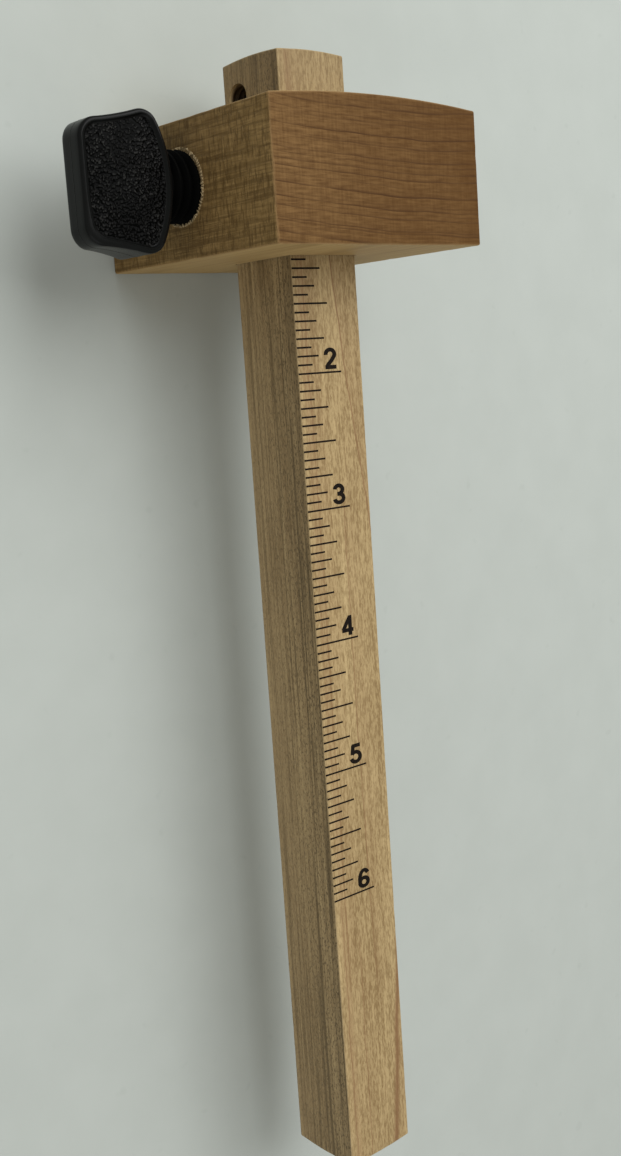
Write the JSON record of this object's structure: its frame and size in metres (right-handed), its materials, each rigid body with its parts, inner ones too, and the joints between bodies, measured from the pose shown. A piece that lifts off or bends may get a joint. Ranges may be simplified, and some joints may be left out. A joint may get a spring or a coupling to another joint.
{
  "type": "marking gauge",
  "caption": "Wooden marking gauge: a graduated square beam, a sliding head clamped by a moulded thumb screw, and an adjustable steel scribing pin.",
  "frame": {"origin": "under the middle of the whole object, on the plane that the head's base rests on", "axes": "+X along the beam, away from the pin's end; +Z out of the graduated face; the thumb screw points along -Y"},
  "size_m": [0.216, 0.071, 0.0492],
  "materials": {
    "beam_wood": "light hardwood under thin lacquer",
    "head_wood": "darker hardwood, sawn and lightly sanded",
    "black_plastic": "moulded, leather-grained panels",
    "brass": "turned",
    "pin_steel": "hardened and ground",
    "screw_steel": "turned"
  },
  "bodies": {
    "beam": {"beam": "beam_wood"},
    "head": {"head": "head_wood"},
    "shoe": {"wear_shoe": "brass"},
    "thumb_screw": {"thumb_screw": "black_plastic"},
    "pin": {"scribing_pin": "pin_steel"},
    "pin_screw": {"pin_screw": "screw_steel"}
  },
  "joints": [
    {"name": "head_slide", "type": "slide", "parent": "beam", "child": "head", "axis": [1, 0, 0], "range_m": [-0.0025, 0.178]},
    {"name": "shoe_press", "type": "slide", "parent": "head", "child": "shoe", "axis": [0, 1, 0], "range_m": [-0.0039, 0]},
    {"name": "thumb_screw_turn", "type": "hinge", "parent": "shoe", "child": "thumb_screw", "pos_m": [-0.0839, 0.01095, 0.0234], "axis": [0, 1, 0], "range_deg": [-720, 0]},
    {"name": "pin_advance", "type": "slide", "parent": "beam", "child": "pin", "axis": [0, 1, 0], "range_m": [-0.00127, 0.00127]},
    {"name": "pin_screw_turn", "type": "hinge", "parent": "pin", "child": "pin_screw", "pos_m": [-0.10065, 0.01095, 0.0209], "axis": [0, 1, 0], "range_deg": [-360, 360]}
  ],
  "couplings": [
    {"joint": "thumb_screw_turn", "follows": "shoe_press", "rad_per_m": 3222.1},
    {"joint": "pin_screw_turn", "follows": "pin_advance", "rad_per_m": 4947.4}
  ]
}
